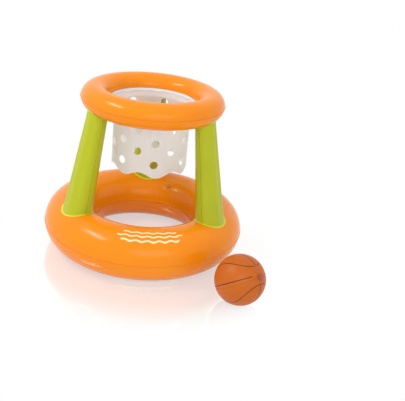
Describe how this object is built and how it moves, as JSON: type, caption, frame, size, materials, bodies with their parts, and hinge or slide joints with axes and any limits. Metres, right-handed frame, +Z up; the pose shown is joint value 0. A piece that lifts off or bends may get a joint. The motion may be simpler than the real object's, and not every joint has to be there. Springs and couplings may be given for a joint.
{
  "type": "floating basketball hoop",
  "caption": "Inflatable pool basketball hoop: fat floating base ring, tapered posts, slimmer rim ring, holed net sleeve, air valves, and its ball beside it.",
  "frame": {"origin": "on the floor, under the middle of the box that holds the hoop and its ball", "axes": "+Z up along the hoop's axis, -Y towards the front, where two of the posts stand, +X to the right"},
  "size_m": [0.716, 0.7731, 0.55],
  "materials": {
    "orange_vinyl": "glossy welded vinyl sheet",
    "green_vinyl": "glossy welded vinyl sheet",
    "net_film": "frosted translucent vinyl film",
    "weld_band": "white welded band",
    "ball_vinyl": "glossy vinyl sheet with printed lines",
    "valve_vinyl": "soft moulded milky vinyl"
  },
  "bodies": {
    "hoop": {"base_top_film": "orange_vinyl", "base_bottom_film": "orange_vinyl", "rim_top_film": "orange_vinyl", "rim_bottom_film": "orange_vinyl", "net_sleeve": "net_film", "net_weld_band": "weld_band", "base_valve_flange": "valve_vinyl", "rim_valve_flange": "valve_vinyl", "front_left_post_outer_panel": "green_vinyl", "front_left_post_inner_panel": "green_vinyl", "front_right_post_outer_panel": "green_vinyl", "front_right_post_inner_panel": "green_vinyl", "rear_post_outer_panel": "green_vinyl", "rear_post_inner_panel": "green_vinyl"},
    "ball": {"ball_gore_1": "ball_vinyl", "ball_gore_2": "ball_vinyl", "ball_gore_3": "ball_vinyl", "ball_gore_4": "ball_vinyl", "ball_gore_5": "ball_vinyl", "ball_gore_6": "ball_vinyl", "ball_pole_patch": "ball_vinyl", "ball_valve_flange": "valve_vinyl"},
    "base_valve_stem": {"base_valve_stem": "valve_vinyl"},
    "base_valve_flap": {"base_valve_flap": "valve_vinyl"},
    "base_valve_stopper": {"base_valve_stopper": "valve_vinyl"},
    "rim_valve_stem": {"rim_valve_stem": "valve_vinyl"},
    "rim_valve_flap": {"rim_valve_flap": "valve_vinyl"},
    "rim_valve_stopper": {"rim_valve_stopper": "valve_vinyl"},
    "ball_valve_stem": {"ball_valve_stem": "valve_vinyl"},
    "ball_valve_flap": {"ball_valve_flap": "valve_vinyl"},
    "ball_valve_stopper": {"ball_valve_stopper": "valve_vinyl"}
  },
  "joints": [
    {"name": "ball_lift", "type": "slide", "parent": "hoop", "child": "ball", "axis": [0, 0, 1], "range_m": [0, 0.6]},
    {"name": "base_valve_stem_slide", "type": "slide", "parent": "hoop", "child": "base_valve_stem", "axis": [-0.2931, -0.6285, 0.7205], "range_m": [0, 0.0095]},
    {"name": "base_valve_stopper_hinge", "type": "hinge", "parent": "base_valve_stem", "child": "base_valve_stopper", "pos_m": [0.04511, 0.22373, 0.14284], "axis": [-0.3045, -0.653, -0.6935], "range_deg": [0, 135]},
    {"name": "base_valve_flap_hinge", "type": "hinge", "parent": "base_valve_stem", "child": "base_valve_flap", "pos_m": [0.06358, 0.2269, 0.13175], "axis": [-0.3045, -0.653, -0.6935], "range_deg": [0, 60]},
    {"name": "rim_valve_stem_slide", "type": "slide", "parent": "hoop", "child": "rim_valve_stem", "axis": [0.3849, 0.5497, -0.7414], "range_m": [0, 0.0095]},
    {"name": "rim_valve_stopper_hinge", "type": "hinge", "parent": "rim_valve_stem", "child": "rim_valve_stopper", "pos_m": [0.09341, 0.23716, 0.4788], "axis": [0.4253, 0.6073, 0.671], "range_deg": [0, 135]},
    {"name": "rim_valve_flap_hinge", "type": "hinge", "parent": "rim_valve_stem", "child": "rim_valve_flap", "pos_m": [0.1001, 0.21986, 0.49022], "axis": [0.4253, 0.6073, 0.671], "range_deg": [0, 60]},
    {"name": "ball_valve_stem_slide", "type": "slide", "parent": "ball", "child": "ball_valve_stem", "axis": [0.6508, -0.5707, 0.5007], "range_m": [0, 0.0095]},
    {"name": "ball_valve_stopper_hinge", "type": "hinge", "parent": "ball_valve_stem", "child": "ball_valve_stopper", "pos_m": [0.33959, -0.34664, 0.11865], "axis": [-0.3764, 0.3301, 0.8656], "range_deg": [0, 135]},
    {"name": "ball_valve_flap_hinge", "type": "hinge", "parent": "ball_valve_stem", "child": "ball_valve_flap", "pos_m": [0.31941, -0.34942, 0.11094], "axis": [-0.3764, 0.3301, 0.8656], "range_deg": [0, 60]}
  ]
}
